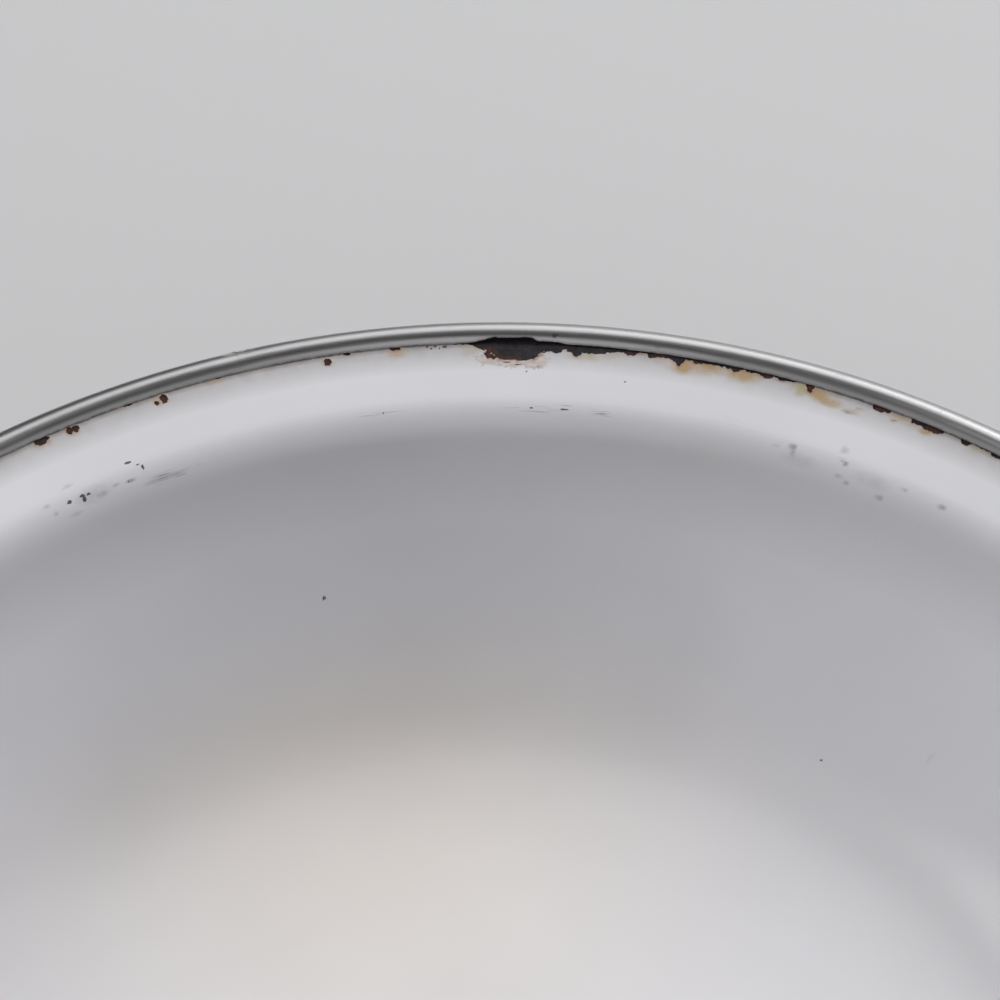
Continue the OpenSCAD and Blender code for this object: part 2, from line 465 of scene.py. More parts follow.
class BasinLooks(bpy.types.PropertyGroup):
    white: colour_setting("White", "Colour of the white enamel", (0.785, 0.782, 0.82))
    tan: colour_setting("Tan", "Colour of the stains by the rim", (0.44, 0.28, 0.115))
    straw: colour_setting("Straw", "Colour of the paler stains by the rim", (0.42, 0.37, 0.19))
    # Colour of the darkening by the band, partly dirt and partly painted shade, and of the painted shade
    # under the shoulder
    dirt_and_shade: colour_setting("Dirt", "Colour of the grey film by the band", (0.15, 0.122, 0.1))
    # Colour of the dark line along the band, grime and painted shadow in the crevice, and of the band's dark
    # marks
    grime: colour_setting("Grime", "Colour of the line of dirt along the band", (0.02, 0.015, 0.013))
    scuff: colour_setting("Scuff", "Colour of the nicks and smudges", (0.035, 0.032, 0.034))
    broken: colour_setting("Broken", "Colour of the darker bits of broken enamel", (0.48, 0.37, 0.32))
    ochre: colour_setting("Ochre", "Colour of stained broken enamel", (0.34, 0.18, 0.075))
    # Colour of the painted shade and warm painted reflection on the bowl's floor
    floor_shade_and_reflection_tint: colour_setting("Floor film", "Colour of the film on the bowl's floor", (0.79, 0.732, 0.675))
    ground: colour_setting("Ground", "Colour of the dark enamel", (0.025, 0.022, 0.027))
    ground_worn: colour_setting("Worn ground", "Colour of worn dark enamel", (0.0425, 0.0374, 0.0459))
    steel_dark: colour_setting("Dark steel", "Colour of the steel's pits", (0.025, 0.021, 0.024))
    steel_pale: colour_setting("Pale steel", "Colour of the steel between them", (0.05, 0.043, 0.048))
    rust_dark: colour_setting("Dark rust", "Colour of old rust", (0.05, 0.029, 0.023))
    rust_bright: colour_setting("Bright rust", "Colour of fresh rust", (0.16, 0.064, 0.048))
    band: colour_setting("Band", "Colour of the band", (0.48, 0.472, 0.48))
    tarnish: colour_setting("Tarnish", "Colour of the band's dull specks", (0.16, 0.14, 0.13))
    solder: colour_setting("Solder", "Colour of the solder on the band's joint", (0.74, 0.72, 0.71))
    stage: colour_setting("Stage", "Colour of the floor that the basin stands on", (0.62, 0.62, 0.63))
    stage_dark: colour_setting("Dark stage", "Colour of its darker patches", (0.6014, 0.6014, 0.6111))


class BasinStage(bpy.types.PropertyGroup):
    camera_place: FloatVectorProperty(
        name="Camera place",
        description="Where the camera stands",
        default=(-0.16 * MM, -220 * MM, 425.1 * MM),
        subtype="TRANSLATION",
    )
    camera_pitch: angle_setting("Camera pitch", "How far the camera looks down", 45.985)
    camera_lens: FloatProperty(name="Lens", description="Focal length in millimetres", default=86.4)
    world_light: FloatProperty(name="World light", description="Light from all round", default=0.02)


# Section of the sheet
def along(slope):
    return Vector((math.cos(slope), math.sin(slope)))


def across(slope):
    return Vector((-math.sin(slope), math.cos(slope)))


def direction(vector):
    return math.atan2(vector.y, vector.x)


def bearing(point):
    """Direction of a point from the axis, in degrees from 0 to a full turn."""
    return math.degrees(direction(point)) % FULL_TURN


def turn_between(turn, start):
    """The shorter way from one direction to another, in radians."""
    return (turn - start + math.pi) % math.tau - math.pi


def spaced(first, last, step):
    """Values from the first to the last, no further apart than the step, without the first."""
    count = max(1, math.ceil(abs(last - first) / step))
    return [first + (last - first) * number / count for number in range(1, count + 1)]


def eased(share):
    """A share held between 0 and 1, with soft ends."""
    share = min(1, max(0, share))
    return share * share * (3 - 2 * share)


class Section:
    """The sheet's section as radius and height, worked out from the same sizes as the solids."""

    def __init__(self, sizes):
        self.sizes = sizes
        self.bead = sizes.band_diameter / 2
        slope = sizes.lip_slope
        self.steel_face = sizes.steel / 2
        self.ground_face = self.steel_face + sizes.ground
        self.cover_face = self.ground_face + sizes.cover
        self.bead_middle = Vector((sizes.rim_diameter / 2 - self.bead, sizes.height - self.bead))
        self.grip_face = self.bead * math.sin(sizes.grip_angle + slope)
        self.grip_run = self.bead * math.cos(sizes.grip_angle + slope)
        inside_band = self.bead - sizes.band_metal - sizes.edge_clearance
        self.edge_reach = math.sqrt(inside_band**2 - self.grip_face**2)
        self.lip_axis = self.bead_middle + (self.grip_face - self.cover_face) * across(slope)
        self.lip_length = sizes.lip_width / math.cos(slope)
        self.place_bends()

    def place_bends(self):
        """Finds the middles of the three bends and the slopes at which they meet."""
        sizes = self.sizes
        lip_inner = self.lip_axis - self.lip_length * along(sizes.lip_slope)
        self.shoulder_middle = lip_inner - sizes.shoulder_radius * across(sizes.lip_slope)
        self.corner_middle = Vector((lip_inner.x - sizes.wall_spread, self.cover_face + sizes.corner_radius))
        apart = self.shoulder_middle - self.corner_middle
        to_corner = sizes.wall_radius - sizes.corner_radius
        to_shoulder = sizes.wall_radius + sizes.shoulder_radius
        share = (to_corner**2 + apart.length_squared - to_shoulder**2) / (2 * to_corner * apart.length)
        self.wall_middle = self.corner_middle + to_corner * along(direction(apart) + math.acos(share))
        self.foot_slope = direction(self.corner_middle - self.wall_middle) + math.pi / 2
        self.top_slope = direction(self.shoulder_middle - self.wall_middle) + math.pi / 2

    def stations(self, lip_step, bend_step):
        """Points along the middle of the sheet from its edge to the axis, each with its slope and its
        distance down the enamel from the band's lip."""
        sizes = self.sizes
        slope = sizes.lip_slope
        points = []
        for run in [-self.edge_reach, *spaced(-self.edge_reach, self.lip_length, lip_step)]:
            points.append((self.lip_axis - run * along(slope), slope))
        for slope in spaced(sizes.lip_slope, self.top_slope, bend_step):
            points.append((self.shoulder_middle + sizes.shoulder_radius * across(slope), slope))
        for slope in spaced(self.top_slope, self.foot_slope, bend_step):
            points.append((self.wall_middle - sizes.wall_radius * across(slope), slope))
        for slope in spaced(self.foot_slope, 0, bend_step):
            points.append((self.corner_middle - sizes.corner_radius * across(slope), slope))
        for ring in range(FLOOR_RINGS - 1, -1, -1):
            points.append((Vector((self.corner_middle.x * ring / FLOOR_RINGS, self.cover_face)), 0))
        return self.measured(points)

    def measured(self, points):
        down = -self.edge_reach - self.grip_run
        last = None
        stations = []
        for middle, slope in points:
            face = middle + self.cover_face * across(slope)
            if last is not None:
                down += (face - last).length
            last = face
            stations.append(Station(middle, slope, down))
        return stations


# Wear
class Outline:
    """A line of values over directions in degrees, given in millimetres."""

    def __init__(self, rows):
        self.angles = [angle for angle, _ in rows]
        self.values = [value * MM for _, value in rows]

    def at(self, angle):
        """The value at a direction, or None past the line's ends."""
        after = bisect(self.angles, angle)
        if after == 0 or after == len(self.angles):
            return None
        start, end = self.angles[after - 1], self.angles[after]
        share = (angle - start) / (end - start)
        return self.values[after - 1] * (1 - share) + self.values[after] * share


class Marks:
    """Marks in metres, listed by the whole degrees of the rim that they reach."""

    def __init__(self, rows, rim_radius):
        self.listed = [[] for _ in range(FULL_TURN)]
        for angle, down, half_length, half_width, strength in rows:
            mark = Mark(angle, down * MM, half_length * MM, half_width * MM, strength)
            reach = math.degrees((mark.half_length + MARK_MARGIN) / rim_radius)
            for degree in range(math.floor(angle - reach), math.ceil(angle + reach) + 1):
                self.listed[degree % FULL_TURN].append(mark)

    def near(self, place):
        """Each mark near a place, with the place's distance from its middle as a share of its half size."""
        for mark in self.listed[int(place.angle) % FULL_TURN]:
            turn = (place.angle - mark.angle + FULL_TURN / 2) % FULL_TURN - FULL_TURN / 2
            run = math.radians(turn) * place.radius / mark.half_length
            yield mark, math.hypot(run, (place.down - mark.down) / mark.half_width)

    def depth(self, place):
        """How far inside the nearest mark a place lies; negative outside all of them."""
        depth = FAR_OUTSIDE
        for mark, distance in self.near(place):
            depth = max(depth, (1 - distance) * min(mark.half_length, mark.half_width))
        return depth

    def strength(self, place):
        """The strongest mark at a place, fading towards its edge."""
        strength = 0
        for mark, distance in self.near(place):
            strength = max(strength, mark.strength * max(0, 1 - distance**2))
        return strength

    def closest_strength(self, place):
        """The strength of the mark closest to a place."""
        closest = min(self.near(place), key=lambda pair: pair[1], default=None)
        return closest[0].strength if closest else 0


def jag(point):
    """An uneven offset for the outline of broken enamel."""
    return JAG_REACH * noise.fractal(point / JAG_SIZE, *JAG_FRACTAL)


class Wear:
    """Looks up the wear at a place on the enamel."""

    def __init__(self, section):
        rim_radius = section.bead_middle.x
        self.lost_edges = [Outline(rows) for rows in LOST_EDGES]
        self.chips = Marks(CHIPS, rim_radius)
        self.left_bits = Marks(LEFT_BITS, rim_radius)
        self.rust = Marks(RUST, rim_radius)
        self.flakes = Marks(FLAKES, rim_radius)
        self.shown = {name: Marks(rows, rim_radius) for name, rows in SHOWN_MARKS.items()}

    def lost_reach(self, place):
        """How far down the white coat is gone in a place's direction, or None where it isn't."""
        reaches = [edge.at(place.angle) for edge in self.lost_edges]
        return next((reach for reach in reaches if reach is not None), None)

    def chip_depth(self, place):
        """How far inside a chip a place lies; negative outside the chips."""
        depth = self.chips.depth(place)
        lost = self.lost_reach(place)
        if lost is not None:
            depth = max(depth, min(lost - place.down, place.down + LOST_UNDER_BAND))
        return min(depth, -self.left_bits.depth(place))

    def broken_depth(self, place, point):
        """How far inside a chip's jagged outline a point lies."""
        return self.chip_depth(place) + jag(point)

    def bare_depth(self, place, point):
        """How far inside the outline of bare steel in a chip a point lies."""
        return self.chip_depth(place) - BARE_INSET + 2 * jag(point * BARE_JAG_SCALE)

    def rustiness(self, place):
        """How rusty a chip is at a place."""
        rust = self.rust.strength(place)
        if self.lost_reach(place) is None:
            rust = max(rust, self.chips.closest_strength(place))
        return rust


# Mesh work
def spin_round(bm, line, edges, angle, merged):
    """Spins a line of vertices and the edges between them about the axis."""
    bmesh.ops.spin(
        bm,
        geom=line + edges,
        cent=(0, 0, 0),
        axis=(0, 0, 1),
        angle=angle,
        steps=SPIN_STEPS,
        use_merge=merged,
    )


class Skin:
    """One face of the sheet, spun all round, whose vertices know how far down and how far out they lie."""

    def __init__(self, stations, distance, faces_up, values=()):
        self.bm = bmesh.new()
        for name in ("down", "radius", *values):
            self.bm.verts.layers.float.new(name)
        self.layers = {name: self.bm.verts.layers.float[name] for name in ("down", "radius", *values)}
        self.spin(stations, distance)
        middle_face = min(self.bm.faces, key=lambda face: face.calc_center_median().xy.length)
        if (middle_face.normal.z > 0) != faces_up:
            bmesh.ops.reverse_faces(self.bm, faces=self.bm.faces[:])

    def spin(self, stations, distance):
        bm = self.bm
        line = []
        for station in stations:
            point = station.middle + distance * across(station.slope)
            vert = bm.verts.new((point.x, 0, point.y))
            vert[self.layers["down"]] = station.down
            vert[self.layers["radius"]] = point.x
            line.append(vert)
        edges = [bm.edges.new(pair) for pair in zip(line, line[1:])]
        spin_round(bm, line, edges, math.tau, True)
        bmesh.ops.remove_doubles(bm, verts=bm.verts[:], dist=MERGE_REACH)
        bmesh.ops.recalc_face_normals(bm, faces=bm.faces[:])

    def place(self, vert):
        return Place(bearing(vert.co), vert[self.layers["down"]], vert[self.layers["radius"]])

    def refine(self, nearness, passes):
        """Divides the faces near the wear, so that they can carry its outlines. The nearness of a place is
        its distance from the nearest outline."""
        for _ in range(passes):
            near = {vert: nearness(self.place(vert), vert.co) for vert in self.bm.verts}
            edges = set()
            for face in self.bm.faces:
                closest = min(near[vert] for vert in face.verts)
                longest = max(edge.calc_length() for edge in face.edges)
                if longest > FINEST and closest < REFINE_SHARE * longest:
                    edges.update(face.edges)
            bmesh.ops.subdivide_edges(
                self.bm, edges=list(edges), cuts=1, use_grid_fill=True, use_single_edge=True
            )
            settle(self.bm)

    def cut_away(self, depth_at):
        """Cuts the skin along the line where the depth is zero and takes away what lies inside it."""
        bm = self.bm
        depth = {vert: depth_at(self.place(vert), vert.co) for vert in bm.verts}
        outline = []
        for edge in [edge for edge in bm.edges if depth[edge.verts[0]] * depth[edge.verts[1]] < 0]:
            start, end = edge.verts
            share = depth[start] / (depth[start] - depth[end])
            vert = bmesh.utils.edge_split(edge, start, share)[1]
            depth[vert] = 0
            outline.append(vert)
        bmesh.ops.connect_verts(bm, verts=outline)
        inside = [face for face in bm.faces if sum(depth[vert] for vert in face.verts) > 0]
        bmesh.ops.delete(bm, geom=inside, context="FACES")

    def thicken(self, thickness):
        """Gives the skin its thickness on its back, and returns the vertices of its front."""
        self.bm.normal_update()
        front = self.bm.verts[:]
        bmesh.ops.solidify(self.bm, geom=self.bm.faces[:], thickness=thickness)
        return front


def settle(bm):
    """Puts every vertex back on the round after the faces between them were divided."""
    radius = bm.verts.layers.float["radius"]
    for vert in bm.verts:
        length = vert.co.xy.length
        if length > MERGE_REACH:
            vert.co.x *= vert[radius] / length
            vert.co.y *= vert[radius] / length


def add_rim_map(bm):
    """A map whose first axis runs along the rim and whose second runs down the surface, in metres."""
    rim_map = bm.loops.layers.uv.new("Rim")
    down = bm.verts.layers.float["down"]
    for face in bm.faces:
        middle_turn = direction(face.calc_center_median())
        for loop in face.loops:
            turn = turn_between(direction(loop.vert.co), middle_turn)
            loop[rim_map].uv = ((middle_turn + turn) * RIM_TOP.x, loop.vert[down])


def finish_piece(bm, name, node, material):
    """Makes the mesh an object that stands for a node of the solids."""
    for face in bm.faces:
        face.smooth = True
    mesh = bpy.data.meshes.new(name)
    bm.to_mesh(mesh)
    bm.free()
    mesh.materials.append(material)
    piece = bpy.data.objects.new(name, mesh)
    bpy.context.scene.collection.objects.link(piece)
    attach(piece, "root")
    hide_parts(node)


# Node trees
MIX_A, MIX_B, MIX_RESULT = 6, 7, 2
NUMBER = "NodeSocketFloat"
COLOUR = "NodeSocketColor"


def opaque(colour):
    return (*colour, 1)


class Nodes:
    """Short calls that add nodes to a tree and join them."""

    def __init__(self, tree):
        self.tree = tree

    def add(self, kind, values=None, **settings):
        node = self.tree.nodes.new(kind)
        for name, value in settings.items():
            setattr(node, name, value)
        for name, value in (values or {}).items():
            self.feed(node.inputs[name], value)
        return node

    def feed(self, socket, value):
        if isinstance(value, bpy.types.NodeSocket):
            self.tree.links.new(value, socket)
        else:
            socket.default_value = value

    def placed(self, group, values=None):
        """The outputs of a node group placed in the tree."""
        return self.add("ShaderNodeGroup", node_tree=group, values=values).outputs

    def attribute(self, name):
        return self.add("ShaderNodeAttribute", attribute_name=name).outputs["Fac"]

    def object_place(self):
        return self.add("ShaderNodeTexCoord").outputs["Object"]

    def rim_place(self, stretch):
        """Places on the rim map, drawn out along the rim."""
        rim_map = self.add("ShaderNodeUVMap", uv_map="Rim").outputs["UV"]
        values = {"Vector": rim_map, "Scale": (1 / stretch, 1, 1)}
        return self.add("ShaderNodeMapping", values).outputs["Vector"]

    def noise(self, place, size, detail=3.0, roughness=0.55):
        """Noise whose patches are about the given size in metres."""
        values = {"Vector": place, "Scale": 1 / size, "Detail": detail, "Roughness": roughness}
        return self.add("ShaderNodeTexNoise", values).outputs["Fac"]

    def range(self, value, low, high, to_low=0.0, to_high=1.0):
        values = {"Value": value, "From Min": low, "From Max": high, "To Min": to_low, "To Max": to_high}
        return self.add("ShaderNodeMapRange", values).outputs["Result"]

    def sum(self, first, second, operation="ADD"):
        return self.add("ShaderNodeMath", {0: first, 1: second}, operation=operation).outputs["Value"]

    def times(self, first, second):
        return self.sum(first, second, "MULTIPLY")

    def larger(self, first, second):
        return self.sum(first, second, "MAXIMUM")

    def distance(self, place, point):
        return self.add("ShaderNodeVectorMath", {0: place, 1: point}, operation="DISTANCE").outputs["Value"]

    def mix(self, share, first, second):
        values = {"Factor": share, MIX_A: first, MIX_B: second}
        return self.add("ShaderNodeMix", values, data_type="RGBA").outputs[MIX_RESULT]

    def scaled(self, colour, scale):
        values = {"Vector": colour, "Scale": scale}
        return self.add("ShaderNodeVectorMath", values, operation="SCALE").outputs["Vector"]

    def bump(self, height, depth, normal=None):
        values = {"Height": height, "Distance": depth}
        if normal is not None:
            values["Normal"] = normal
        return self.add("ShaderNodeBump", values).outputs["Normal"]


def shader_group(name, inputs, outputs, fill):
    """The named shader group, filled the first time that it is asked for."""
    if name in bpy.data.node_groups:
        return bpy.data.node_groups[name]
    tree = bpy.data.node_groups.new(name, "ShaderNodeTree")
    for socket, default in inputs.items():
        given = tree.interface.new_socket(socket, in_out="INPUT", socket_type=NUMBER)
        given.default_value = default
    for socket, kind in outputs.items():
        tree.interface.new_socket(socket, in_out="OUTPUT", socket_type=kind)
    nodes = Nodes(tree)
    fill(nodes, nodes.add("NodeGroupInput").outputs, nodes.add("NodeGroupOutput").inputs)
    return tree


def rust_group(looks):
    """Patches of rust: a mask and a colour that runs from dark brown to orange."""

    def fill(nodes, given, out):
        place = nodes.object_place()
        patches = nodes.noise(place, RUST_PATCH, 4.0, 0.6)
        bits = nodes.noise(place, RUST_BIT, 3.0)
        amount = given["Amount"]
        level = nodes.sum(patches, nodes.range(amount, 0, 1, -0.3, 0.3))
        brightness = nodes.times(nodes.range(bits, 0.42, 0.72), nodes.range(amount, 0.2, 1, 0.35, 1))
        nodes.feed(out["Mask"], nodes.range(level, 0.42, 0.62))
        nodes.feed(out["Colour"], nodes.mix(brightness, opaque(looks.rust_dark), opaque(looks.rust_bright)))

    return shader_group("Rust patches", {"Amount": 0.5}, {"Mask": NUMBER, "Colour": COLOUR}, fill)


def fired_group():
    """The unevenness of fired enamel: a slow tone, a roughness and a fine ripple."""

    def fill(nodes, given, out):
        place = nodes.object_place()
        slow = nodes.noise(place, TONE_PATCH, 2.0)
        haze = nodes.noise(place, HAZE_PATCH, 4.0)
        nodes.feed(out["Tone"], nodes.range(slow, 0.3, 0.7, 0.97, 1.02))
        nodes.feed(out["Roughness"], nodes.sum(given["Roughness"], nodes.range(haze, 0.3, 0.7, -0.015, 0.02)))
        nodes.feed(out["Height"], nodes.noise(place, RIPPLE_SIZE, 1.0))

    outputs = {"Tone": NUMBER, "Roughness": NUMBER, "Height": NUMBER}
    return shader_group("Fired surface", {"Roughness": 0.3}, outputs, fill)


def scratch_group():
    """Fine scratches that run along the rim."""

    def fill(nodes, given, out):
        lines = nodes.noise(nodes.rim_place(SCRATCH_STRETCH), SCRATCH_WIDTH, 2.0)
        breaks = nodes.noise(nodes.rim_place(BREAK_STRETCH), SCRATCH_BREAK, 2.0)
        level = nodes.times(nodes.range(lines, 0.56, 0.68), nodes.range(breaks, 0.44, 0.6))
        nodes.feed(out["Mask"], nodes.times(level, given["Amount"]))

    return shader_group("Fine scratches", {"Amount": 0.5}, {"Mask": NUMBER}, fill)


# Materials
def filled_material(name, fill, looks):
    """The named material, filled the first time that it is asked for."""
    if name in bpy.data.materials:
        return bpy.data.materials[name]
    material = bpy.data.materials.new(name)
    material.use_nodes = True
    tree = material.node_tree
    fill(Nodes(tree), tree.nodes["Principled BSDF"].inputs, looks)
    return material


def enamel_soil(nodes, looks, colour, cloud, bits):
    """Adds the darkening by the band, partly dirt and partly painted shade, the painted shade under the
    shoulder, the stains, and the dark line of grime and painted shadow along the band, to the colour.
    """
    below = nodes.attribute("below")
    # Darker towards the band: partly dirt, partly painted shade of the band
    wide = nodes.range(below, 0, DIRT_AND_SHADE_WIDE, 0.54, 0)
    close = nodes.range(below, 0, DIRT_AND_SHADE_CLOSE, 0.33, 0)
    dirt_and_shade = nodes.times(nodes.sum(wide, close), nodes.range(cloud, 0.25, 0.75, 0.85, 1.15))
    colour = nodes.mix(dirt_and_shade, colour, opaque(looks.dirt_and_shade))
    # Painted shade: a faint darker band on the upper wall, just under the shoulder
    painted_shade = nodes.times(nodes.range(below, *PAINTED_SHADE_RISE), nodes.range(below, *PAINTED_SHADE_FALL, 0.15, 0))
    colour = nodes.mix(painted_shade, colour, opaque(looks.dirt_and_shade))
    uneven = nodes.range(cloud, 0.3, 0.65, 0.5, 1.25)
    for name, stain in (("straw", looks.straw), ("tan", looks.tan)):
        strength = nodes.times(nodes.attribute(name), uneven)
        colour = nodes.mix(nodes.range(strength, 0, 0.95, 0, 0.85), colour, opaque(stain))
    # Dark line along the band's edge: grime and painted shadow in the crevice
    ragged = nodes.sum(below, nodes.range(bits, 0.3, 0.7, -GRIME_AND_SHADOW_WANDER, GRIME_AND_SHADOW_WANDER))
    slow = nodes.noise(nodes.rim_place(GRIME_AND_SHADOW_STRETCH), GRIME_AND_SHADOW_PATCH, 2.0)
    line = nodes.range(ragged, *GRIME_AND_SHADOW_LINE, 1, 0)
    grime = nodes.times(line, nodes.range(slow, 0.35, 0.55, 0.5, 0.9))
    return nodes.mix(grime, colour, opaque(looks.grime))


def enamel_damage(nodes, looks, colour, cloud, bits, lumps):
    """Adds smudges, broken edges, nicks and scratches to the white enamel's colour."""
    smudge = nodes.times(nodes.attribute("smudge"), nodes.range(cloud, 0.3, 0.65, 0.15, 0.65))
    colour = nodes.mix(smudge, colour, opaque(looks.scuff))
    pale = nodes.mix(0.45, opaque(looks.broken), opaque(looks.white))
    broken = nodes.mix(nodes.range(lumps, 0.34, 0.48), opaque(looks.broken), pale)
    colour = nodes.mix(nodes.attribute("broken"), colour, broken)
    amount = nodes.range(nodes.larger(nodes.attribute("tan"), nodes.attribute("broken")), 0, 0.7, 0.1, 0.85)
    stained = nodes.times(nodes.attribute("edge"), nodes.range(cloud, 0.38, 0.6))
    colour = nodes.mix(nodes.times(stained, amount), colour, opaque(looks.ochre))
    nick = nodes.sum(nodes.attribute("nick"), nodes.range(bits, 0.3, 0.7, -0.25, 0.3))
    colour = nodes.mix(nodes.range(nick, 0.3, 0.5, 0, 0.9), colour, opaque(looks.scuff))
    scratches = nodes.placed(scratch_group(), {"Amount": nodes.attribute("worn")})
    return nodes.mix(scratches["Mask"], colour, opaque(looks.scuff))


def white_enamel(nodes, shader, looks):
    """White enamel with stains, dirt, scuffs, broken edges, painted shade and a painted reflection, which the
    piece's own attributes place.
    """
    place = nodes.object_place()
    cloud = nodes.noise(place, CLOUD_PATCH, 4.0, 0.6)
    bits = nodes.noise(place, NICK_BIT, 3.0, 0.6)
    lumps = nodes.noise(place, BROKEN_LUMP, 3.0, 0.6)
    fired = nodes.placed(fired_group(), {"Roughness": WHITE_ROUGHNESS})
    # Painted shade with a warm painted reflection on the floor, strongest left of the middle
    patch = nodes.range(nodes.distance(place, FLOOR_SHADE_MIDDLE), FLOOR_SHADE_NEAR, FLOOR_SHADE_FAR, 0.72, 0.12)
    film = nodes.times(nodes.attribute("film"), patch)
    broken = nodes.attribute("broken")

    colour = nodes.mix(film, opaque(looks.white), opaque(looks.floor_shade_and_reflection_tint))
    colour = nodes.scaled(colour, fired["Tone"])
    colour = enamel_soil(nodes, looks, colour, cloud, bits)
    nodes.feed(shader["Base Color"], enamel_damage(nodes, looks, colour, cloud, bits, lumps))

    dull = nodes.larger(nodes.times(broken, 0.35), nodes.times(film, 0.12))
    nodes.feed(shader["Roughness"], nodes.sum(fired["Roughness"], dull))
    ripple = nodes.bump(fired["Height"], RIPPLE_DEPTH)
    nodes.feed(shader["Normal"], nodes.bump(nodes.times(broken, lumps), BROKEN_DEPTH, ripple))


def ground_enamel(nodes, shader, looks):
    """Black ground enamel, rusty where its attribute says so."""
    place = nodes.object_place()
    fired = nodes.placed(fired_group(), {"Roughness": GROUND_ROUGHNESS})
    shader["Specular IOR Level"].default_value = GROUND_SHINE
    rust = nodes.placed(rust_group(looks), {"Amount": nodes.attribute("rust")})
    worn = nodes.range(nodes.noise(place, GROUND_PATCH, 2.0), 0.5, 0.7, 0, 0.7)
    colour = nodes.mix(worn, opaque(looks.ground), opaque(looks.ground_worn))
    nodes.feed(shader["Base Color"], nodes.mix(rust["Mask"], colour, rust["Colour"]))
    nodes.feed(shader["Roughness"], nodes.sum(fired["Roughness"], nodes.times(rust["Mask"], 0.5)))
    nodes.feed(shader["Normal"], nodes.bump(nodes.noise(place, PIT_SIZE, 3.0), GROUND_DEPTH))


def rusty_steel(nodes, shader, looks):
    """Bare steel gone dark and rusty."""
    rust = nodes.placed(rust_group(looks), {"Amount": 0.3})
    pits = nodes.noise(nodes.object_place(), PIT_SIZE, 3.0)
    dark = nodes.mix(nodes.range(pits, 0.4, 0.7), opaque(looks.steel_dark), opaque(looks.steel_pale))
    shader["Specular IOR Level"].default_value = STEEL_SHINE
    nodes.feed(shader["Base Color"], nodes.mix(rust["Mask"], dark, rust["Colour"]))
    nodes.feed(shader["Roughness"], nodes.range(rust["Mask"], 0, 1, 0.4, 0.85))
    nodes.feed(shader["Metallic"], nodes.range(rust["Mask"], 0, 1, 0.1, 0.0))
    nodes.feed(shader["Normal"], nodes.bump(pits, PIT_DEPTH))


def band_metal(nodes, shader, looks):
    """Satin metal, drawn along the rim, with dull specks, a lip darkened by grime and painted shadow, and a
    pale soldered joint.
    """
    place = nodes.object_place()
    scratches = nodes.placed(scratch_group(), {"Amount": 0.3})
    drawn = nodes.noise(nodes.rim_place(DRAWN_STRETCH), DRAWN_WIDTH, 3.0)
    speck = nodes.range(nodes.noise(place, SPECK_SIZE, 5.0, 0.65), 0.67, 0.75, 0, 0.6)
    grime_and_shadow_patches = nodes.range(nodes.noise(place, BAND_GRIME_AND_SHADOW_PATCH), 0.35, 0.6, 0.3, 1)
    marked = nodes.range(nodes.noise(place, MARK_BIT), 0.35, 0.55, 0.4, 1)
    lumpy = nodes.range(nodes.noise(place, SOLDER_BIT), 0.35, 0.55)
    # The lip by the crevice darkened: grime and painted shadow
    grime = nodes.times(nodes.attribute("grime"), grime_and_shadow_patches)
    mark = nodes.times(nodes.attribute("mark"), marked)
    solder = nodes.times(nodes.attribute("solder"), lumpy)
    dull = nodes.larger(nodes.larger(speck, scratches["Mask"]), grime)
    colour = nodes.mix(dull, opaque(looks.band), opaque(looks.tarnish))
    colour = nodes.mix(mark, colour, opaque(looks.grime))
    nodes.feed(shader["Base Color"], nodes.mix(solder, colour, opaque(looks.solder)))
    rough = nodes.range(drawn, 0.3, 0.7, 0.31, 0.36)
    rough = nodes.sum(rough, nodes.times(nodes.larger(dull, solder), 0.25))
    nodes.feed(shader["Roughness"], rough)
    nodes.feed(shader["Metallic"], nodes.range(solder, 0, 1, 1, 0.4))
    nodes.feed(shader["Normal"], nodes.bump(drawn, DRAWN_DEPTH))


def stage_floor(nodes, shader, looks):
    """A plain matt floor."""
    tone = nodes.noise(nodes.object_place(), FLOOR_PATCH, 2.0)
    nodes.feed(shader["Base Color"], nodes.mix(tone, opaque(looks.stage), opaque(looks.stage_dark)))
    shader["Roughness"].default_value = STAGE_ROUGHNESS


# Coats
WHITE_VALUES = ("below", "broken", "edge", "film", *SHOWN_MARKS)


def add_inside_wear(skin, wear):
    """Writes on every vertex of the inside's white coat how stained, scuffed and broken it is there, and how
    much of the floor's painted shade and reflection it takes.
    """
    layers = skin.layers
    for vert in skin.bm.verts:
        place = skin.place(vert)
        edge = eased(1 + wear.broken_depth(place, vert.co) / EDGE_REACH)
        flake = wear.flakes.depth(place) + 2 * jag(vert.co * FLAKE_JAG_SCALE)
        for name, marks in wear.shown.items():
            vert[layers[name]] = marks.strength(place)
        vert[layers["below"]] = place.down
        vert[layers["broken"]] = max(EDGE_WEAR * edge**4, eased(0.5 + flake / FLAKE_EDGE))
        vert[layers["edge"]] = edge
        # Painted shade and reflection on the floor, growing down the wall
        vert[layers["film"]] = eased((place.down - FLOOR_SHADE_START) / (FLOOR_SHADE_FULL - FLOOR_SHADE_START))


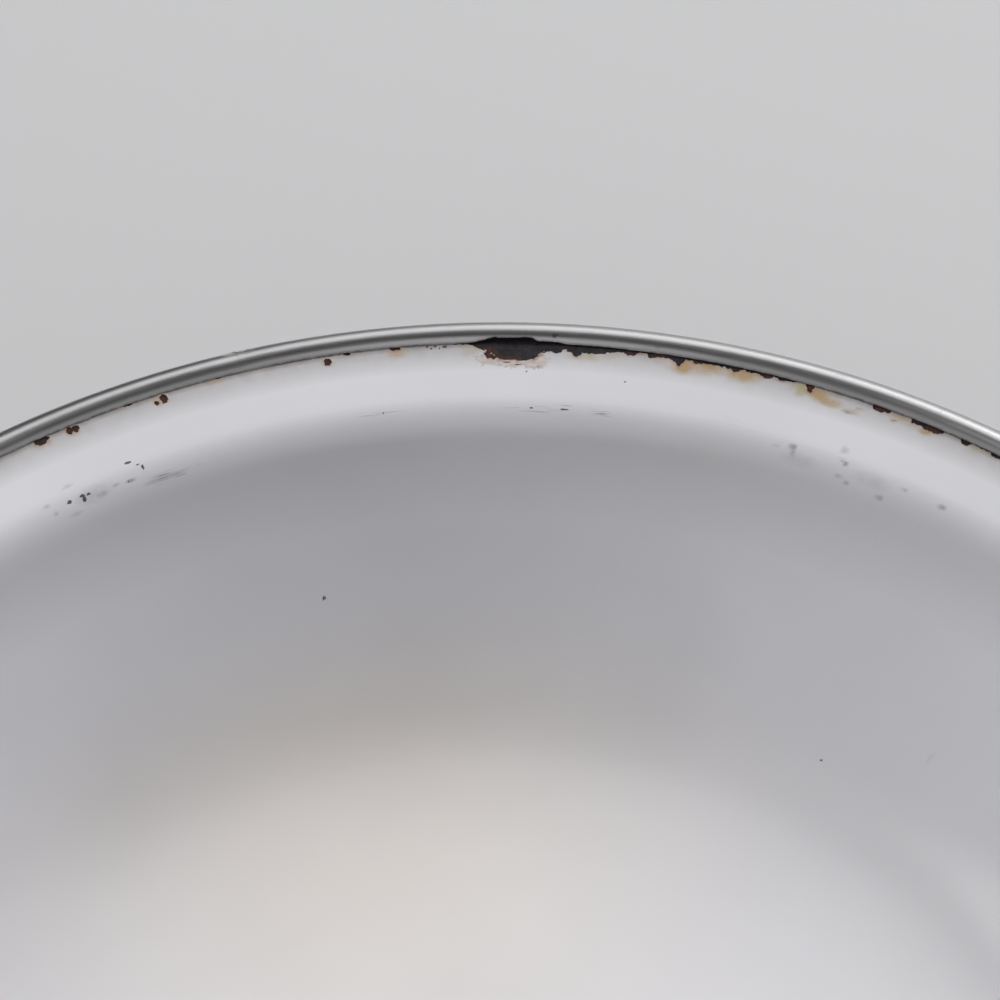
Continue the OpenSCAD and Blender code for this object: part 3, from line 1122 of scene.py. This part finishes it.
class BASIN_OT_inside_coat(bpy.types.Operator):
    """Builds the white coat of the inside, with its chips and stains"""

    bl_idname = "basin.inside_coat"
    bl_label = "Inside Coat"

    def execute(self, context):
        sizes = context.scene.basin_sizes
        section = Section(sizes)
        wear = Wear(section)
        skin = Skin(section.stations(FINE_LIP, FINE_BEND), section.cover_face, True, WHITE_VALUES)
        nicks = wear.shown["nick"]
        smudges = wear.shown["smudge"]
        skin.refine(lambda place, point: -max(nicks.depth(place), smudges.depth(place)), 2)
        skin.refine(lambda place, point: -nicks.depth(place), 1)
        skin.refine(lambda place, point: abs(wear.broken_depth(place, point)), 4)
        skin.refine(lambda place, point: -wear.flakes.depth(place), 1)
        skin.cut_away(wear.broken_depth)
        add_inside_wear(skin, wear)
        add_rim_map(skin.bm)
        front = skin.thicken(sizes.cover)
        self.sink_broken(skin, front, sizes.cover)
        enamel = filled_material("White enamel", white_enamel, context.scene.basin_looks)
        finish_piece(skin.bm, "inside_white", "inside_white_coat", enamel)
        return {"FINISHED"}

    @staticmethod
    def sink_broken(skin, front, thickness):
        """Sinks the top of the coat where it is broken."""
        broken = skin.layers["broken"]
        for vert in front:
            if vert[broken] > 0:
                unevenness = 0.75 + 0.5 * noise.noise(vert.co / LUMP_SIZE)
                vert.co -= vert.normal * thickness * FLAKE_SHARE * vert[broken] * min(1, unevenness)


class BASIN_OT_ground_coat(bpy.types.Operator):
    """Builds the dark coat that shows in the chips, and finishes the steel and the outside's dark coat"""

    bl_idname = "basin.ground_coat"
    bl_label = "Ground Coat"

    def execute(self, context):
        sizes = context.scene.basin_sizes
        looks = context.scene.basin_looks
        section = Section(sizes)
        wear = Wear(section)
        skin = Skin(section.stations(COARSE_LIP, COARSE_BEND), section.ground_face, True, ("rust",))
        skin.refine(lambda place, point: -wear.chip_depth(place) - JAG_REACH, 4)
        skin.cut_away(wear.bare_depth)
        for vert in skin.bm.verts:
            vert[skin.layers["rust"]] = wear.rustiness(skin.place(vert))
        for vert in skin.thicken(sizes.ground):
            shown = eased(wear.chip_depth(skin.place(vert)) / EDGE_REACH)
            vert.co += vert.normal * GROUND_LUMP * shown * noise.noise(vert.co / LUMP_SIZE)
        enamel = filled_material("Ground enamel", ground_enamel, looks)
        finish_piece(skin.bm, "inside_ground", "inside_ground_coat", enamel)
        steel = filled_material("Rusty steel", rusty_steel, looks)
        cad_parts["steel_bowl"].material_slots[0].material = steel
        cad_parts["outside_ground_coat"].material_slots[0].material = enamel
        return {"FINISHED"}


class BASIN_OT_outside_coat(bpy.types.Operator):
    """Builds the white coat of the outside"""

    bl_idname = "basin.outside_coat"
    bl_label = "Outside Coat"

    def execute(self, context):
        sizes = context.scene.basin_sizes
        section = Section(sizes)
        skin = Skin(section.stations(COARSE_LIP, FINE_BEND), -section.cover_face, False, WHITE_VALUES)
        foot = section.corner_middle.x
        for vert in skin.bm.verts:
            place = skin.place(vert)
            standing = STANDING_WEAR * eased(1 - abs(place.radius - foot) / STANDING_HALF)
            vert[skin.layers["below"]] = place.down
            vert[skin.layers["worn"]] = OUTSIDE_WEAR + standing
            vert[skin.layers["smudge"]] = standing
        add_rim_map(skin.bm)
        skin.thicken(sizes.cover)
        enamel = filled_material("White enamel", white_enamel, context.scene.basin_looks)
        finish_piece(skin.bm, "outside_white", "outside_white_coat", enamel)
        return {"FINISHED"}


# Band
def band_outline(section):
    """The band's section, as points with their directions from its middle, from its upper lip round the
    outside to its lower lip and back along the inside."""
    sizes = section.sizes
    sheet = 2 * section.cover_face
    outline = []
    for radius, step in ((section.bead, 2 * FINE_BEND), (section.bead - sizes.band_metal, 4 * FINE_BEND)):
        upper = math.asin(section.grip_face / radius)
        lower = math.tau + math.asin((section.grip_face - sheet) / radius)
        turns = [upper, *spaced(upper, lower, step)]
        if radius < section.bead:
            turns.reverse()
        for turn in turns:
            level = turn - sizes.lip_slope
            point = section.bead_middle + radius * Vector((-math.cos(level), math.sin(level)))
            outline.append((point, level))
    return outline


class BASIN_OT_rim_band(bpy.types.Operator):
    """Builds the rolled metal band with its joint and its worn upper lip"""

    bl_idname = "basin.rim_band"
    bl_label = "Rim Band"

    def execute(self, context):
        section = Section(context.scene.basin_sizes)
        seam = math.degrees(section.sizes.seam_angle)
        bm = self.spun_band(section)
        self.divide(bm, *DRAWN_SPAN)
        self.divide(bm, seam - SEAM_SPAN, seam + SEAM_SPAN)
        settle(bm)
        self.add_finish(bm, section)
        self.draw_lip(bm, section)
        bmesh.ops.recalc_face_normals(bm, faces=bm.faces[:])
        self.shape_seam(bm, section)
        add_rim_map(bm)
        for edge in bm.edges:
            edge.smooth = edge.calc_face_angle(0) < SHARP_ANGLE
        metal = filled_material("Band metal", band_metal, context.scene.basin_looks)
        finish_piece(bm, "band", "rim_band", metal)
        return {"FINISHED"}

    @staticmethod
    def spun_band(section):
        bm = bmesh.new()
        for name in ("level", "down", "radius", "grime", "solder", "mark"):
            bm.verts.layers.float.new(name)
        layers = bm.verts.layers.float
        ring = []
        for point, level in band_outline(section):
            vert = bm.verts.new((point.x, 0, point.y))
            vert[layers["level"]] = level
            vert[layers["down"]] = level * section.bead
            vert[layers["radius"]] = point.x
            ring.append(vert)
        edges = [bm.edges.new(pair) for pair in zip(ring, ring[1:] + ring[:1])]
        gap = section.sizes.seam_gap / section.bead_middle.x
        spin_round(bm, ring, edges, math.tau - gap, False)
        start = Matrix.Rotation(section.sizes.seam_angle + gap / 2, 3, "Z")
        bmesh.ops.rotate(bm, verts=bm.verts[:], cent=(0, 0, 0), matrix=start)
        bmesh.ops.holes_fill(bm, edges=bm.edges[:], sides=0)
        return bm

    @staticmethod
    def divide(bm, first, last):
        """Divides the band along the rim between two directions in degrees."""
        level = bm.verts.layers.float["level"]
        chosen = []
        for edge in bm.edges:
            start, end = edge.verts
            angle = bearing((start.co + end.co) / 2)
            if first < angle < last and start[level] == end[level]:
                chosen.append(edge)
        bmesh.ops.subdivide_edges(bm, edges=chosen, cuts=BAND_CUTS, use_grid_fill=True)

    @staticmethod
    def add_finish(bm, section):
        """Writes on every vertex how marked the band is, how much grime and painted shadow its lip takes by
        the crevice, and where the solder of its joint lies.
        """
        layers = bm.verts.layers.float
        marks = Marks(BAND_MARKS, section.bead_middle.x)
        for vert in bm.verts:
            level = vert[layers["level"]]
            place = Place(bearing(vert.co), vert[layers["down"]], vert[layers["radius"]])
            vert[layers["mark"]] = marks.strength(place)
            turn = turn_between(direction(vert.co), section.sizes.seam_angle)
            on_top = eased(1 - abs(level - SOLDER_LEVEL) / SOLDER_SPREAD)
            vert[layers["solder"]] = on_top * eased(SOLDER_FULLNESS * (1 - abs(turn) / SOLDER_REACH))
            # Grime and painted shadow on the lip, by the crevice
            vert[layers["grime"]] = eased(1 - (level - section.sizes.grip_angle) / GRIME_AND_SHADOW_TURN)

    @staticmethod
    def draw_lip(bm, section):
        """Draws the band's upper lip back at the large chip."""
        drawn = Outline(DRAWN_LIP)
        layer = bm.verts.layers.float["level"]
        for vert in bm.verts:
            turn = direction(vert.co)
            lift = drawn.at(bearing(vert.co))
            weight = eased(1 - (vert[layer] - section.sizes.grip_angle) / LIP_FADE)
            if not lift or not weight:
                continue
            wander = noise.fractal(Vector((turn / LIP_WANDER_TURN, 0, 0)), *LIP_FRACTAL)
            lift += eased(lift / MM) * LIP_WANDER * wander
            arm = Vector((vert.co.xy.length, vert.co.z)) - section.bead_middle
            arm.rotate(Matrix.Rotation(-lift / section.bead * weight, 2))
            point = section.bead_middle + arm
            vert.co = (point.x * math.cos(turn), point.x * math.sin(turn), point.y)

    @staticmethod
    def shape_seam(bm, section):
        """Lets the band sag a little at its joint, and puts lumps of solder over it."""
        solder = bm.verts.layers.float["solder"]
        bm.normal_update()
        for vert in bm.verts:
            turn = turn_between(direction(vert.co), section.sizes.seam_angle)
            near = eased(1 - abs(turn) / SEAM_FADE)
            lump = max(0, 0.3 + 0.7 * noise.noise(vert.co / LUMP_SIZE))
            vert.co += vert.normal * SOLDER_LUMP * lump * vert[solder]
            vert.co.z = min(vert.co.z - near * SEAM_SAG, section.sizes.height)


# Stage
class BASIN_OT_stage(bpy.types.Operator):
    """Sets up the floor, the soft lights and the camera"""

    bl_idname = "basin.stage"
    bl_label = "Stage"

    def execute(self, context):
        scene = context.scene
        self.add_floor(scene)
        for light in LIGHTS:
            self.add_light(scene, light)
        self.set_world(scene)
        self.add_camera(scene)
        scene.view_settings.view_transform = "Standard"
        return {"FINISHED"}

    @staticmethod
    def add_floor(scene):
        bm = bmesh.new()
        bmesh.ops.create_grid(bm, x_segments=STAGE_CELLS, y_segments=STAGE_CELLS, size=STAGE_HALF)
        mesh = bpy.data.meshes.new("stage_floor")
        bm.to_mesh(mesh)
        bm.free()
        mesh.materials.append(filled_material("Stage floor", stage_floor, scene.basin_looks))
        floor = bpy.data.objects.new("stage_floor", mesh)
        scene.collection.objects.link(floor)

    @staticmethod
    def add_light(scene, light):
        lamp = bpy.data.lights.new(light.name, "AREA")
        lamp.shape = "DISK"
        lamp.size = light.size
        lamp.energy = light.power
        turn = math.radians(light.direction)
        rise = math.radians(light.height)
        flat = LIGHT_DISTANCE * math.cos(rise)
        place = Vector((flat * math.cos(turn), flat * math.sin(turn), LIGHT_DISTANCE * math.sin(rise)))
        holder = bpy.data.objects.new(light.name, lamp)
        holder.location = place
        holder.rotation_euler = (-place).to_track_quat("-Z", "Y").to_euler()
        scene.collection.objects.link(holder)

    @staticmethod
    def set_world(scene):
        world = bpy.data.worlds.new("studio")
        world.use_nodes = True
        background = world.node_tree.nodes["Background"]
        background.inputs["Color"].default_value = (1, 1, 1, 1)
        background.inputs["Strength"].default_value = scene.basin_stage.world_light
        scene.world = world

    @staticmethod
    def add_camera(scene):
        stage = scene.basin_stage
        camera = bpy.data.cameras.new("camera")
        camera.lens = stage.camera_lens
        camera.sensor_width = SENSOR_WIDTH
        camera.clip_start = CLIP_START
        holder = bpy.data.objects.new("camera", camera)
        holder.location = stage.camera_place
        holder.rotation_euler = (math.pi / 2 - stage.camera_pitch, 0, 0)
        scene.collection.objects.link(holder)
        scene.camera = holder


class BASIN_PT_sidebar(bpy.types.Panel):
    """Lists the basin's pieces and settings"""

    bl_idname = "BASIN_PT_sidebar"
    bl_label = "Enamel Basin"
    bl_space_type = "VIEW_3D"
    bl_region_type = "UI"
    bl_category = "Basin"

    def draw(self, context):
        for operator in OPERATORS:
            self.layout.operator(operator.bl_idname)
        for name in SETTINGS:
            column = self.layout.column(align=True)
            settings = getattr(context.scene, name)
            for setting in settings.__annotations__:
                column.prop(settings, setting)


OPERATORS = (
    BASIN_OT_ground_coat,
    BASIN_OT_inside_coat,
    BASIN_OT_outside_coat,
    BASIN_OT_rim_band,
    BASIN_OT_stage,
)
SETTINGS = {"basin_sizes": BasinSizes, "basin_looks": BasinLooks, "basin_stage": BasinStage}


def register():
    for name, settings in SETTINGS.items():
        bpy.utils.register_class(settings)
        setattr(bpy.types.Scene, name, PointerProperty(type=settings))
    for operator in OPERATORS:
        bpy.utils.register_class(operator)
    bpy.utils.register_class(BASIN_PT_sidebar)


def unregister():
    bpy.utils.unregister_class(BASIN_PT_sidebar)
    for operator in reversed(OPERATORS):
        bpy.utils.unregister_class(operator)
    for name, settings in SETTINGS.items():
        delattr(bpy.types.Scene, name)
        bpy.utils.unregister_class(settings)


def main():
    register()
    bpy.ops.basin.ground_coat()
    bpy.ops.basin.inside_coat()
    bpy.ops.basin.outside_coat()
    bpy.ops.basin.rim_band()
    bpy.ops.basin.stage()


if __name__ == "__main__":
    main()
